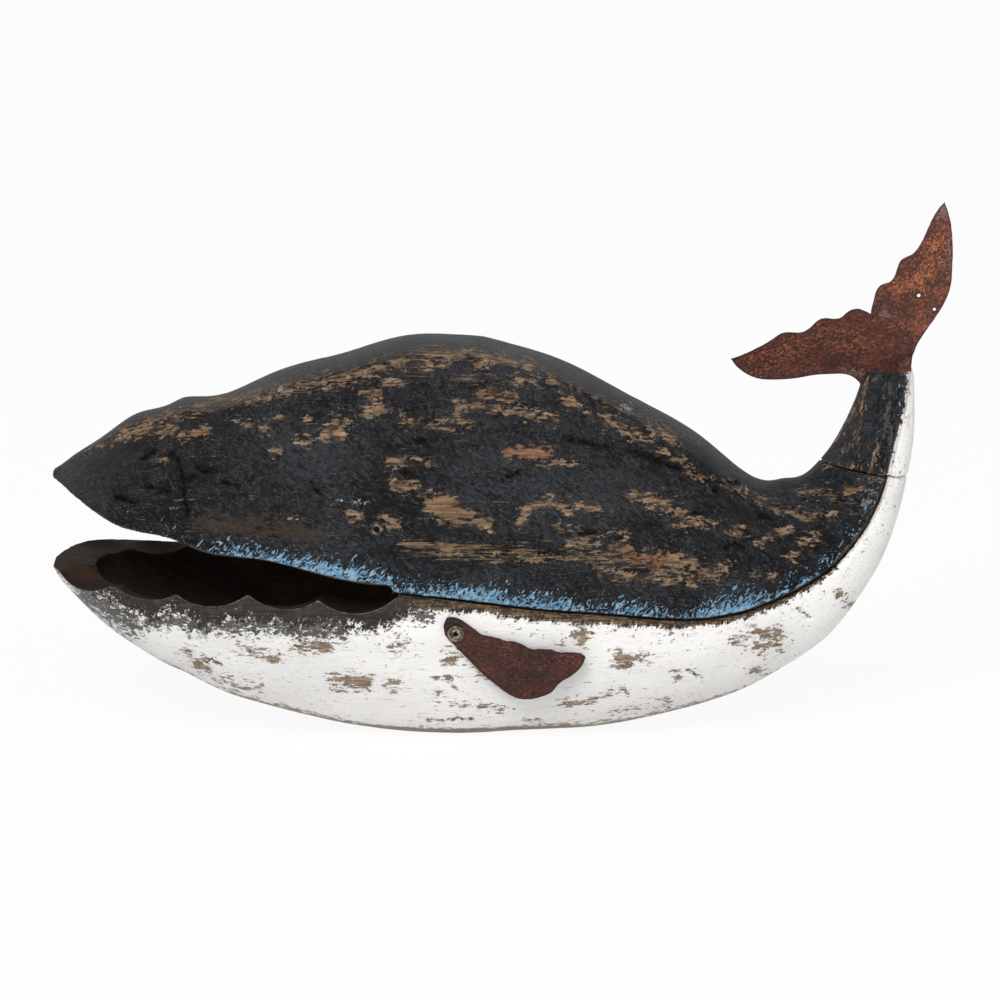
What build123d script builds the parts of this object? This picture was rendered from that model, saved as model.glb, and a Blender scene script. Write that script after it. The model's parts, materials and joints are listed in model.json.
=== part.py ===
from build123d import *
import os
from math import hypot

# Carved whale ornament, all sizes in mm.
# The head points to -X, the tail rises at +X, the whale's left side faces -Y, and the belly rests on Z = 0.
# Two blocks are glued along a sawn line that runs from the corner of the mouth up the back of the tail,
# and the upright tail is a third block. The fins are sheet metal.

# Body
body_length = 430.0
hump_height = 197.0
body_width = 116.0
snout_reach = 225.0

# Carved groove over the glue line
groove_width = 1.8
groove_depth = 2.2
glue_line = 0.2

# Gouge work in the lower jaw
scoop_radius = 28.0
scoop_inset = 15.0
far_scoop_lift = 4.5
trough_length = 140.0
trough_width = 88.0
trough_depth = 26.0

# Sheet metal
sheet_thickness = 1.0
fluke_length = 92.0
fluke_lap_depth = 17.0
fluke_bend_radius = 6.0
fluke_sheet_gap = 0.1
bend_rise = 1.5
left_fluke_lean_degrees = 12.0
right_fluke_lean_degrees = 25.0
flipper_length = 70.0
flipper_depth = 43.0
flipper_gap = 0.3
swivel_clearance = 0.08
spare_hole_radius = 0.9
spare_hole_rise = 5.3
nail_hole_radius = 0.5

# Saw kerf in the top of the tail
kerf_depth = 18.0
kerf_clearance = 0.1

# Screws of the flippers
screw_shank_radius = 2.0
screw_length = 20.0
screw_flange_radius = 4.0
screw_flange_thickness = 0.7
screw_dome_radius = 3.0
screw_dome_height = 1.5
recess_span = 3.6
recess_width = 0.9
recess_depth = 1.1

# Tacks of the eyes
tack_head_radius = 3.5
tack_head_height = 1.5
tack_pocket_depth = 0.5
tack_pupil_radius = 1.4
tack_pupil_depth = 0.9
tack_rim_bevel = 0.5
tack_shank_radius = 0.8
tack_length = 12.0

# Hidden dowels and brads
dowel_radius = 5.0
body_dowel_length = 50.0
tail_dowel_length = 36.0
pin_radius = 0.8
pin_cover = 1.5
glue_clearance = 0.05

# One overrun serves every cut
overrun = 10.0

snout_x = -snout_reach

# Cross sections from the snout to the top of the tail. Each row holds the crown (along, up),
# the keel (along, up), the half width, how far down the section is widest, the ridge's half width,
# the ridge's drop and the keel's half width. Along is a share of body_length, up of hump_height,
# the half width of half of body_width. The rest are shares of the section's own depth or half width.
section_shares = [
    (0.000, 0.660, 0.000, 0.409, 0.240, 0.55, 0.28, 0.030, 0.46),
    (0.007, 0.667, 0.007, 0.393, 0.430, 0.52, 0.18, 0.020, 0.44),
    (0.020, 0.688, 0.020, 0.367, 0.640, 0.53, 0.15, 0.015, 0.40),
    (0.041, 0.718, 0.041, 0.320, 0.780, 0.52, 0.16, 0.012, 0.34),
    (0.069, 0.760, 0.069, 0.262, 0.855, 0.52, 0.19, 0.012, 0.30),
    (0.095, 0.796, 0.095, 0.221, 0.888, 0.52, 0.24, 0.012, 0.28),
    (0.128, 0.814, 0.128, 0.175, 0.914, 0.52, 0.29, 0.012, 0.28),
    (0.172, 0.838, 0.172, 0.128, 0.936, 0.53, 0.33, 0.012, 0.28),
    (0.229, 0.872, 0.229, 0.076, 0.959, 0.54, 0.36, 0.012, 0.28),
    (0.262, 0.904, 0.262, 0.056, 0.972, 0.55, 0.375, 0.012, 0.28),
    (0.294, 0.925, 0.294, 0.038, 0.983, 0.565, 0.385, 0.012, 0.28),
    (0.360, 0.964, 0.360, 0.008, 0.997, 0.59, 0.405, 0.012, 0.28),
    (0.430, 0.998, 0.430, -0.008, 1.000, 0.61, 0.415, 0.012, 0.28),
    (0.500, 0.990, 0.500, -0.008, 1.000, 0.62, 0.42, 0.012, 0.28),
    (0.570, 0.948, 0.570, 0.000, 0.983, 0.62, 0.43, 0.014, 0.28),
    (0.640, 0.880, 0.640, 0.010, 0.940, 0.61, 0.44, 0.020, 0.28),
    (0.700, 0.810, 0.700, 0.034, 0.876, 0.60, 0.46, 0.030, 0.28),
    (0.751, 0.745, 0.766, 0.071, 0.793, 0.60, 0.50, 0.050, 0.28),
    (0.798, 0.660, 0.824, 0.123, 0.698, 0.58, 0.55, 0.080, 0.28),
    (0.835, 0.628, 0.877, 0.193, 0.603, 0.57, 0.61, 0.130, 0.28),
    (0.863, 0.637, 0.920, 0.281, 0.517, 0.57, 0.68, 0.200, 0.28),
    (0.884, 0.667, 0.953, 0.388, 0.448, 0.58, 0.76, 0.290, 0.28),
    (0.898, 0.704, 0.975, 0.494, 0.388, 0.61, 0.84, 0.380, 0.28),
    (0.910, 0.746, 0.989, 0.609, 0.336, 0.65, 0.90, 0.450, 0.29),
    (0.921, 0.795, 0.998, 0.723, 0.293, 0.68, 0.93, 0.500, 0.30),
    (0.932, 0.853, 1.000, 0.822, 0.259, 0.70, 0.94, 0.530, 0.31),
    (0.944, 0.917, 0.998, 0.917, 0.233, 0.72, 0.95, 0.550, 0.32),
]

# How full the curves between those places are, as shares of the run that each one crosses
crown_pull_share = 0.45
ridge_out_share = 0.55
ridge_down_share = 0.22
flank_up_share = 0.50
bilge_down_share = 0.60
bilge_in_share = 0.50

# Lines seen from the side, as shares of body_length and hump_height
upper_lip_shares = [
    (0.000, 0.642),
    (0.042, 0.613),
    (0.086, 0.566),
    (0.144, 0.541),
    (0.185, 0.505),
    (0.244, 0.491),
    (0.284, 0.472),
    (0.337, 0.441),
    (0.386, 0.426),
]
mouth_corner_share = (0.397, 0.407)
lower_lip_shares = [
    (0.386, 0.388),
    (0.319, 0.393),
    (0.235, 0.404),
    (0.149, 0.404),
    (0.081, 0.414),
    (0.035, 0.422),
    (0.000, 0.419),
]
seam_shares = [
    (0.397, 0.407),
    (0.477, 0.387),
    (0.581, 0.359),
    (0.671, 0.340),
    (0.736, 0.324),
    (0.790, 0.332),
    (0.843, 0.364),
    (0.897, 0.425),
    (0.944, 0.538),
    (0.965, 0.643),
    (0.976, 0.746),
    (0.986, 0.847),
    (0.990, 0.930),
]
tail_joint_shares = [(0.880, 0.686), (0.985, 0.655)]

# Scoops in the near wall of the jaw: place along and height of the low point that each cuts in the rim
scoop_shares = [(0.056, 0.403), (0.123, 0.387), (0.191, 0.374), (0.277, 0.370), (0.355, 0.361)]
trough_place_share = (0.212, 0.404)

# Flukes seen from the side, as shares of fluke_length from their root, which is set along the tail's top
fluke_place_share = 0.965
left_fluke_top_shares = [
    (-0.837, 0.067),
    (-0.766, 0.096),
    (-0.696, 0.132),
    (-0.614, 0.183),
    (-0.560, 0.219),
    (-0.448, 0.226),
    (-0.402, 0.261),
    (-0.353, 0.301),
    (-0.250, 0.307),
    (-0.212, 0.341),
    (-0.152, 0.359),
    (-0.076, 0.327),
    (0.027, 0.296),
    (0.114, 0.209),
    (0.152, 0.185),
]
left_fluke_back_shares = [(0.152, 0.185), (0.141, 0.125), (0.109, 0.087), (0.065, 0.060)]
left_fluke_low_shares = [
    (-0.136, -0.072),
    (-0.223, -0.021),
    (-0.293, -0.021),
    (-0.377, -0.026),
    (-0.473, -0.043),
    (-0.592, -0.052),
    (-0.685, -0.046),
    (-0.766, -0.009),
    (-0.837, 0.067),
]
left_fluke_root_shares = (-0.098, 0.055)
right_fluke_front_shares = [
    (-0.060, 0.100),
    (-0.076, 0.279),
    (-0.060, 0.350),
    (-0.011, 0.430),
    (0.027, 0.440),
    (0.060, 0.480),
    (0.098, 0.555),
    (0.141, 0.576),
    (0.228, 0.686),
    (0.304, 0.816),
    (0.337, 0.847),
]
right_fluke_back_shares = [
    (0.337, 0.847),
    (0.367, 0.761),
    (0.380, 0.586),
    (0.375, 0.490),
    (0.360, 0.400),
    (0.318, 0.314),
    (0.248, 0.220),
    (0.188, 0.139),
    (0.141, 0.003),
]
right_fluke_root_shares = (-0.045, 0.141)
nail_hole_shares = [(0.188, 0.372), (0.272, 0.302)]
pin_place_shares = [(-0.027, -0.076), (0.033, -0.141)]

# Flipper seen square on, as shares of flipper_length and flipper_depth from its screw
flipper_top_shares = [
    (-0.064, 0.186),
    (0.024, 0.174),
    (0.107, 0.079),
    (0.179, 0.007),
    (0.307, -0.053),
    (0.414, -0.088),
    (0.543, -0.167),
    (0.679, -0.186),
    (0.807, -0.221),
    (0.879, -0.233),
    (0.919, -0.281),
]
flipper_low_shares = [
    (0.919, -0.281),
    (0.871, -0.437),
    (0.793, -0.544),
    (0.729, -0.616),
    (0.693, -0.695),
    (0.614, -0.772),
    (0.507, -0.809),
    (0.414, -0.784),
    (0.307, -0.665),
    (0.179, -0.484),
    (0.000, -0.160),
    (-0.076, -0.016),
]
flipper_corner_share = (-0.086, 0.091)

# Places on the body, as shares of body_length and hump_height
flipper_screw_share = (0.469, 0.309)
eye_share = (0.379, 0.574)
body_dowel_shares = [(0.465, 0.391), (0.665, 0.341)]
tail_dowel_share = 0.40


def place(shares):
    """A point in the side view from shares of the body's length and hump."""
    return snout_x + shares[0] * body_length, shares[1] * hump_height


def places(table):
    return [place(shares) for shares in table]


def scaled(table, along, up):
    return [(shares[0] * along, shares[1] * up) for shares in table]


def sideways(face, reach=body_width):
    """A side-view face pushed out to both sides of the whale."""
    return extrude(Plane.XZ * face, amount=reach, both=True)


def cylinder_at(seat, radius, length):
    """A round bar that goes from its seat into the wood."""
    return seat * Cylinder(radius, length, align=(Align.CENTER, Align.CENTER, Align.MAX))


# One closed cross section of the body. The inset shrinks it evenly, for the floor of the groove.
def body_section(row, inset):
    crown = Vector(snout_x + row[0] * body_length, 0, row[1] * hump_height)
    keel = Vector(snout_x + row[2] * body_length, 0, row[3] * hump_height)
    half_width = row[4] * body_width / 2 - inset
    down = (keel - crown).normalized()
    crown = crown + down * inset
    keel = keel - down * inset
    widest, ridge, drop, flat = row[5:]
    rise = widest - drop

    def at(depth, out):
        return crown + (keel - crown) * depth + Vector(0, out * half_width, 0)

    def half(side):
        ridge_edge = at(drop, side * ridge)
        widest_edge = at(widest, side)
        flat_edge = at(1, side * flat)
        top = Bezier(
            at(0, 0),
            at(0, side * ridge * crown_pull_share),
            at(drop * crown_pull_share, side * ridge * (1 - crown_pull_share / 2)),
            ridge_edge,
        )
        flank = Bezier(
            ridge_edge,
            at(drop + rise * ridge_down_share, side * (ridge + (1 - ridge) * ridge_out_share)),
            at(widest - rise * flank_up_share, side),
            widest_edge,
        )
        bilge = Bezier(
            widest_edge,
            at(widest + (1 - widest) * bilge_down_share, side),
            at(1, side * (flat + (1 - flat) * bilge_in_share)),
            flat_edge,
        )
        return [top, flank, bilge]

    base = Line(at(1, flat), at(1, -flat))
    return Face(Wire(half(1) + [base] + half(-1)))


def body_form(inset=0.0):
    """The whole whale as one form, with its resting flat cut level."""
    form = loft([body_section(row, inset) for row in section_shares])
    below = Box(2 * body_length, 2 * body_width, overrun, align=(Align.CENTER, Align.CENTER, Align.MAX))
    return form - below


def seam_line():
    return Spline(places(seam_shares))


# The open mouth, cut straight through from side to side
def mouth_opening():
    upper = Spline(places(upper_lip_shares))
    lower = Spline(places(lower_lip_shares))
    corner = ThreePointArc(upper @ 1, place(mouth_corner_share), lower @ 0)
    front_x = snout_x - overrun
    front = Polyline(lower @ 1, (front_x, (lower @ 1).Y), (front_x, (upper @ 0).Y), upper @ 0)
    return sideways(make_face([upper, corner, lower, front]))


def joint_frame():
    """The sloping plane under the tail block, with its normal up the tail."""
    front, back = (Vector(x, 0, z) for x, z in places(tail_joint_shares))
    along = (back - front).normalized()
    middle = front + (back - front) * tail_dowel_share
    return Plane(origin=middle, x_dir=along, z_dir=Vector(-along.Z, 0, along.X))


def surface_seat(form, x, z, side):
    """A frame on the flank at a place of the side view, with its normal out of the wood."""
    hits = form.find_intersection_points(Axis((x, 0, z), (0, side, 0)))
    point, normal = max(hits, key=lambda hit: side * hit[0].Y)
    if normal.Y * side < 0:
        normal = normal * -1
    along = Vector(1, 0, 0)
    return Plane(origin=point, x_dir=along - normal * along.dot(normal), z_dir=normal)


# The gouge cuts in the lower jaw: a long trough, and a row of scoops along each wall
def jaw_gouging(form):
    x, z = place(trough_place_share)
    half_sizes = (trough_length / 2, trough_width / 2, trough_depth)
    cuts = [Pos(x, 0, z) * scale(Sphere(1), by=half_sizes)]
    sphere_radius = hypot(scoop_radius, scoop_inset)
    for shares in scoop_shares:
        x, low = place(shares)
        wall = -surface_seat(form, x, low, -1).origin.Y
        for side, lift in ((-1, 0), (1, far_scoop_lift)):
            centre = (x, side * (wall - scoop_inset), low + lift + scoop_radius)
            cuts.append(Pos(centre) * Sphere(sphere_radius))
    return cuts


def fluke_root():
    """The place on the tail's top that both flukes are set out from."""
    return Vector(snout_x + fluke_place_share * body_length, 0, section_shares[-1][1] * hump_height)


def tail_kerf():
    """The saw cut that holds both flukes, open at the front and back of the tail."""
    root = fluke_root()
    width = 2 * sheet_thickness + fluke_sheet_gap + 2 * kerf_clearance
    lift = Pos(root.X, 0, root.Z + overrun / 2 - kerf_depth / 2)
    return lift * Box(body_width, width, kerf_depth + overrun)


def fluke(outline, side, lean_degrees):
    """A leaf of sheet, upright in the kerf and bent over to one side above it."""
    root = fluke_root()
    middle_y = side * (fluke_sheet_gap + sheet_thickness) / 2
    knee = Vector(middle_y, root.Z + bend_rise)
    foot = Vector(middle_y, root.Z - fluke_length)
    tip = knee + Vector(0, fluke_length).rotate(Axis.Z, -side * lean_degrees)
    path = FilletPolyline(foot, knee, tip, radius=fluke_bend_radius)
    ribbon = extrude(Plane.YZ * trace(path, sheet_thickness), amount=body_length, both=True)
    return sideways(Pos(root.X, root.Z) * outline) & ribbon


def left_fluke_outline():
    top = Spline(scaled(left_fluke_top_shares, fluke_length, fluke_length))
    back = Spline(scaled(left_fluke_back_shares, fluke_length, fluke_length))
    low = Spline(scaled(left_fluke_low_shares, fluke_length, fluke_length))
    front_x, back_x = (share * fluke_length for share in left_fluke_root_shares)
    root = Polyline(back @ 1, (back_x, -fluke_lap_depth), (front_x, -fluke_lap_depth), low @ 0)
    return make_face([top, back, root, low])


def right_fluke_outline():
    front = Spline(scaled(right_fluke_front_shares, fluke_length, fluke_length))
    back = Spline(scaled(right_fluke_back_shares, fluke_length, fluke_length))
    front_x, back_x = (share * fluke_length for share in right_fluke_root_shares)
    root = Polyline(back @ 1, (back_x, -fluke_lap_depth), (front_x, -fluke_lap_depth), front @ 0)
    outline = make_face([front, back, root])
    for hole in scaled(nail_hole_shares, fluke_length, fluke_length):
        outline -= Pos(hole) * Circle(nail_hole_radius)
    return outline


def flipper_outline():
    top = Spline(scaled(flipper_top_shares, flipper_length, flipper_depth))
    low = Spline(scaled(flipper_low_shares, flipper_length, flipper_depth))
    corner = scaled([flipper_corner_share], flipper_length, flipper_depth)[0]
    end = Polyline(low @ 1, corner, top @ 0)
    return make_face([top, low, end])


def flipper(seat):
    """The sheet lies along the flank where its screw goes in, and turns about that screw."""
    holes = Circle(screw_shank_radius + swivel_clearance)
    holes += Pos(0, spare_hole_rise) * Circle(spare_hole_radius)
    blade = extrude(flipper_outline() - holes, amount=sheet_thickness)
    return seat * Pos(0, 0, flipper_gap) * blade


def flipper_screw(seat):
    under_head = flipper_gap + sheet_thickness + swivel_clearance
    shank_length = screw_length + under_head
    shank = Pos(0, 0, under_head) * Cylinder(
        screw_shank_radius, shank_length, align=(Align.CENTER, Align.CENTER, Align.MAX)
    )
    flange = Pos(0, 0, under_head) * Cylinder(
        screw_flange_radius, screw_flange_thickness, align=(Align.CENTER, Align.CENTER, Align.MIN)
    )
    dome_foot = under_head + screw_flange_thickness
    ball_radius = (screw_dome_radius**2 + screw_dome_height**2) / (2 * screw_dome_height)
    ball = Pos(0, 0, dome_foot + screw_dome_height - ball_radius) * Sphere(ball_radius)
    dome = ball & Pos(0, 0, dome_foot) * Cylinder(
        screw_dome_radius + overrun, overrun, align=(Align.CENTER, Align.CENTER, Align.MIN)
    )
    recess_top = Pos(0, 0, dome_foot + screw_dome_height)
    cross = recess_top * Box(recess_span, recess_width, 2 * recess_depth)
    cross += recess_top * Box(recess_width, recess_span, 2 * recess_depth)
    return seat * (shank + flange + dome - cross)


def eye_tack(seat):
    """A round head with a raised rim round a hollow pupil, on a plain shank."""
    head = Pos(0, 0, -tack_pocket_depth) * Cylinder(
        tack_head_radius, tack_head_height, align=(Align.CENTER, Align.CENTER, Align.MIN)
    )
    head = chamfer(head.edges().group_by(Axis.Z)[-1], tack_rim_bevel)
    top = tack_head_height - tack_pocket_depth
    pupil = Pos(0, 0, top) * Cylinder(tack_pupil_radius, 2 * tack_pupil_depth)
    shank = Pos(0, 0, -tack_pocket_depth) * Cylinder(
        tack_shank_radius, tack_length, align=(Align.CENTER, Align.CENTER, Align.MAX)
    )
    return seat * (head + shank - pupil)


def eye_socket(seat):
    pocket = cylinder_at(seat, tack_head_radius + glue_clearance, tack_pocket_depth + glue_clearance)
    mouth = seat * Cylinder(
        tack_head_radius + glue_clearance, overrun, align=(Align.CENTER, Align.CENTER, Align.MIN)
    )
    hole_length = tack_pocket_depth + tack_length + glue_clearance
    return pocket + mouth + cylinder_at(seat, tack_shank_radius + glue_clearance, hole_length)


def screw_hole(seat):
    return seat * Cylinder(screw_shank_radius + glue_clearance, 2 * (screw_length + glue_clearance))


def body_dowel(shares, clearance=0.0):
    x, z = place(shares)
    return Pos(x, 0, z) * Cylinder(dowel_radius + clearance, body_dowel_length + 2 * clearance)


def tail_dowel(clearance=0.0):
    return joint_frame() * Cylinder(dowel_radius + clearance, tail_dowel_length + 2 * clearance)


def fluke_pin_place(shares):
    root = fluke_root()
    return root.X + shares[0] * fluke_length, root.Z + shares[1] * fluke_length


def fluke_pin_length(form):
    """Both brads stop short of the tail's sides, where it is the narrower of their two places."""
    sides = [surface_seat(form, *fluke_pin_place(shares), 1).origin.Y for shares in pin_place_shares]
    return 2 * (min(sides) - pin_cover)


def fluke_pin(shares, length, clearance=0.0):
    x, z = fluke_pin_place(shares)
    return Pos(x, 0, z) * Rot(90, 0, 0) * Cylinder(pin_radius + clearance, length + 2 * clearance)


def carve(form):
    """The back, belly and tail blocks, cut from the form with the groove and the mouth in them."""
    front, back = (Vector(x, 0, z) for x, z in places(tail_joint_shares))
    joint_reach = 2 * (back - front).length
    cutter = Box(joint_reach, 2 * body_width, hump_height, align=(Align.CENTER, Align.CENTER, Align.MIN))
    above_joint = joint_frame() * Pos(0, 0, glue_line / 2) * cutter
    above_slot = joint_frame() * Pos(0, 0, -glue_line / 2) * cutter
    groove = sideways(trace(seam_line(), groove_width)) - body_form(groove_depth)
    saw_cut = sideways(trace(seam_line(), glue_line))
    carved = form - mouth_opening() - groove
    tail = carved & above_joint
    lower = carved - above_slot - saw_cut
    belly, back = lower.solids().sort_by(lambda solid: solid.center().Z)
    return back, belly, tail


def build():
    form = body_form()
    back, belly, tail = carve(form)
    screw_x, screw_z = place(flipper_screw_share)
    eye_x, eye_z = place(eye_share)
    screw_seat = surface_seat(form, screw_x, screw_z, -1)
    eye_seat = surface_seat(form, eye_x, eye_z, -1)

    pieces = {
        "left_fluke": fluke(left_fluke_outline(), -1, left_fluke_lean_degrees),
        "right_fluke": fluke(right_fluke_outline(), 1, right_fluke_lean_degrees),
    }
    pin_length = fluke_pin_length(form)
    for shares in pin_place_shares:
        hole = fluke_pin(shares, pin_length, glue_clearance)
        tail -= hole
        pieces["left_fluke"] -= hole
        pieces["right_fluke"] -= hole
    pieces["fluke_pins"] = Compound([fluke_pin(shares, pin_length) for shares in pin_place_shares])
    tail -= tail_kerf()

    for cut in jaw_gouging(form):
        belly -= cut
    for shares in body_dowel_shares:
        hole = body_dowel(shares, glue_clearance)
        back -= hole
        belly -= hole
    pieces["body_dowels"] = Compound([body_dowel(shares) for shares in body_dowel_shares])
    back -= tail_dowel(glue_clearance)
    tail -= tail_dowel(glue_clearance)
    pieces["tail_dowel"] = tail_dowel()

    for cut in (screw_hole(screw_seat), eye_socket(eye_seat)):
        for both in (cut, mirror(cut, about=Plane.XZ)):
            back -= both
            belly -= both
    fittings = {
        "flipper": flipper(screw_seat),
        "flipper_screw": flipper_screw(screw_seat),
        "eye_tack": eye_tack(eye_seat),
    }
    for name, fitting in fittings.items():
        pieces["left_" + name] = fitting
        pieces["right_" + name] = mirror(fitting, about=Plane.XZ)
    pieces["back_block"] = back
    pieces["belly_block"] = belly
    pieces["tail_block"] = tail
    print("flipper pivot", screw_seat.origin, "outward", screw_seat.z_dir)
    return pieces


os.makedirs("parts", exist_ok=True)
for name, piece in build().items():
    export_step(piece, f"parts/{name}.step")
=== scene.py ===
import json
import math

import bmesh
import bpy
import numpy as np
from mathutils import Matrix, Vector
from mathutils.kdtree import KDTree


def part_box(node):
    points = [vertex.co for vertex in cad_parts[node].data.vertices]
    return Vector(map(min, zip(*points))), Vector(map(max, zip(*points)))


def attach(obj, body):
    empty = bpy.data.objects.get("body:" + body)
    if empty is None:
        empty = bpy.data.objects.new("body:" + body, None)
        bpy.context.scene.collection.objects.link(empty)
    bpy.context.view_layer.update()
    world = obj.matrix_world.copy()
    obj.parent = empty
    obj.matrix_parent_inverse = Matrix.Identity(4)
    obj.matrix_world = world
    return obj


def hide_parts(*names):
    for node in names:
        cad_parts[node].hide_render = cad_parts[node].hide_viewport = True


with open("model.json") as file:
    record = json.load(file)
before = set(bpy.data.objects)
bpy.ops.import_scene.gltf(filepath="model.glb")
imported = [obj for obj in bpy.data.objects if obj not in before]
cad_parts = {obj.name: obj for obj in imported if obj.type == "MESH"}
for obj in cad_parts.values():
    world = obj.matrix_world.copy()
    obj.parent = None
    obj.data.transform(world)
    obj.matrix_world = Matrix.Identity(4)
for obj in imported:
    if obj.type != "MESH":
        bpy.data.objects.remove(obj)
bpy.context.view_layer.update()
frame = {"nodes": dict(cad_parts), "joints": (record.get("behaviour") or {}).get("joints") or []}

# The camera
# It stands three metres off the whale's left side and 14 degrees above it, with a long lens,
# so that a pixel of the picture is half a millimetre at the whale's middle.
picture_pixels = 1000
picture_width = 0.5
camera_distance = 3.0
camera_rise = math.radians(14)
camera_aim = Vector((-0.0015, 0.0, 0.1139))
camera_right = Vector((1, 0, 0))
camera_up = Vector((0, math.sin(camera_rise), math.cos(camera_rise)))
camera_ahead = Vector((0, math.cos(camera_rise), -math.sin(camera_rise)))
camera_place = camera_aim - camera_distance * camera_ahead

camera_data = bpy.data.cameras.new("camera")
camera_data.lens = camera_data.sensor_width * camera_distance / picture_width
camera_data.dof.use_dof = False
camera = bpy.data.objects.new("camera", camera_data)
camera.location = camera_place
camera.rotation_euler = (math.pi / 2 - camera_rise, 0, 0)
scene = bpy.context.scene
scene.collection.objects.link(camera)
scene.camera = camera
scene.view_settings.view_transform = "Standard"

# The studio
# A white floor that runs out past the picture, under one broad lamp over the whale's left shoulder and
# weaker ones towards the tail and behind. The sky is white too, and lights less from overhead and behind.
floor_reach = 7.0
floor_glow = 0.93
sky_strength = 0.74
sky_fall = 0.42
sky_back_fall = 0.42
lamps = [
    ("key_lamp", (-0.9, -2.6, 2.5), 1.4, 95.0),
    ("tail_lamp", (2.4, -1.6, 1.7), 1.6, 20.0),
    ("far_lamp", (0.5, 2.4, 2.2), 2.0, 6.5),
]


def paint(red, green, blue):
    """A colour in the linear light that the shaders count in, from the paint maker's 0 to 255 figures."""
    shares = [part / 255 for part in (red, green, blue)]
    return [part / 12.92 if part < 0.04 else ((part + 0.055) / 1.055) ** 2.4 for part in shares] + [1.0]


class Finish:
    """A socket of a node tree, on which sums are written as on numbers."""

    def __init__(self, tree, socket=None):
        self.tree = tree
        self.socket = socket

    def node(self, kind, settings, sockets, out=0):
        """Any other node: its type, its settings, and the values or links of its sockets."""
        made = self.tree.nodes.new(kind)
        for name, value in settings.items():
            setattr(made, name, value)
        for name, value in sockets.items():
            if isinstance(value, Finish):
                self.tree.links.new(value.socket, made.inputs[name])
            else:
                made.inputs[name].default_value = value
        return Finish(self.tree, made.outputs[out])

    def math(self, operation, first, second):
        return self.node("ShaderNodeMath", {"operation": operation}, {0: first, 1: second})

    def __add__(self, other):
        return self.math("ADD", self, other)

    def __radd__(self, other):
        return self.math("ADD", other, self)

    def __sub__(self, other):
        return self.math("SUBTRACT", self, other)

    def __rsub__(self, other):
        return self.math("SUBTRACT", other, self)

    def __mul__(self, other):
        return self.math("MULTIPLY", self, other)

    def __rmul__(self, other):
        return self.math("MULTIPLY", other, self)

    def __truediv__(self, other):
        return self.math("DIVIDE", self, other)

    def __rtruediv__(self, other):
        return self.math("DIVIDE", other, self)

    def at_least(self, other):
        return self.math("MAXIMUM", self, other)

    def above(self, start, end):
        """0 below start, 1 above end, and a smooth rise between them."""
        ends = {"Value": self, "From Min": start, "From Max": end}
        return self.node("ShaderNodeMapRange", {"interpolation_type": "SMOOTHSTEP"}, ends)

    def mixed(self, first, second):
        """One colour where this is 0 and the other where it is 1."""
        return self.node("ShaderNodeMix", {"data_type": "RGBA"}, {0: self, 6: first, 7: second}, out=2)

    def mix_value(self, first, second):
        """One number where this is 0 and the other where it is 1."""
        return self.node("ShaderNodeMix", {"data_type": "FLOAT"}, {0: self, 2: first, 3: second})

    def field(self, name):
        """In a finish, a value that was worked out for each point of the mesh."""
        return self.node("ShaderNodeAttribute", {"attribute_name": name}, {}, out="Fac")

    def stored(self, name, kind="FLOAT"):
        """In geometry nodes, a value that the mesh holds."""
        return self.node("GeometryNodeInputNamedAttribute", {"data_type": kind}, {"Name": name})

    def stretched(self, along, up, lean=0.0):
        """Object coordinates for a pattern with so many cells to a metre along its streaks and across them.
        The streaks run along the whale, or rise towards the tail by the lean in degrees."""
        place = self.node("ShaderNodeTexCoord", {}, {}, out="Object")
        sizes = (1 / along, 1 / up, 1 / up)
        values = {"Vector": place, "Rotation": (0, -math.radians(lean), 0), "Scale": sizes}
        return self.node("ShaderNodeMapping", {"vector_type": "TEXTURE"}, values)

    def noise(self, vector, detail=3.0, rough=0.5, bend=0.0):
        values = {"Vector": vector, "Scale": 1.0, "Detail": detail, "Roughness": rough, "Distortion": bend}
        return self.node("ShaderNodeTexNoise", {}, values)

    def seeded_noise(self, vector, seed, scale, detail):
        values = {"Vector": vector, "W": seed, "Scale": scale, "Detail": detail}
        return self.node("ShaderNodeTexNoise", {"noise_dimensions": "4D"}, values)


def shown_rays(sums):
    """1 for what the camera sees, straight, in a reflection or through glass."""
    camera_ray = sums.node("ShaderNodeLightPath", {}, {}, out="Is Camera Ray")
    glossy_ray = sums.node("ShaderNodeLightPath", {}, {}, out="Is Glossy Ray")
    clear_ray = sums.node("ShaderNodeLightPath", {}, {}, out="Is Transmission Ray")
    return camera_ray.at_least(glossy_ray).at_least(clear_ray)


corners = [(x * floor_reach, y * floor_reach, 0) for x, y in ((-1, -1), (1, -1), (1, 1), (-1, 1))]
floor_mesh = bpy.data.meshes.new("floor")
floor_mesh.from_pydata(corners, [], [(0, 1, 2, 3)])
floor = bpy.data.objects.new("floor", floor_mesh)
scene.collection.objects.link(floor)
floor_finish = bpy.data.materials.new("white_floor")
floor_finish.use_nodes = True
floor_nodes = floor_finish.node_tree
floor_sum = Finish(floor_nodes)
plain = floor_sum.node("ShaderNodeBsdfDiffuse", {}, {"Color": paint(240, 240, 240)})
white = floor_sum.node("ShaderNodeEmission", {}, {"Color": (1, 1, 1, 1), "Strength": 1.0})
shown = shown_rays(floor_sum) * floor_glow
floor_mix = floor_sum.node("ShaderNodeMixShader", {}, {0: shown, 1: plain, 2: white})
floor_nodes.links.new(floor_mix.socket, floor_nodes.nodes["Material Output"].inputs["Surface"])
floor_mesh.materials.append(floor_finish)

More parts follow.
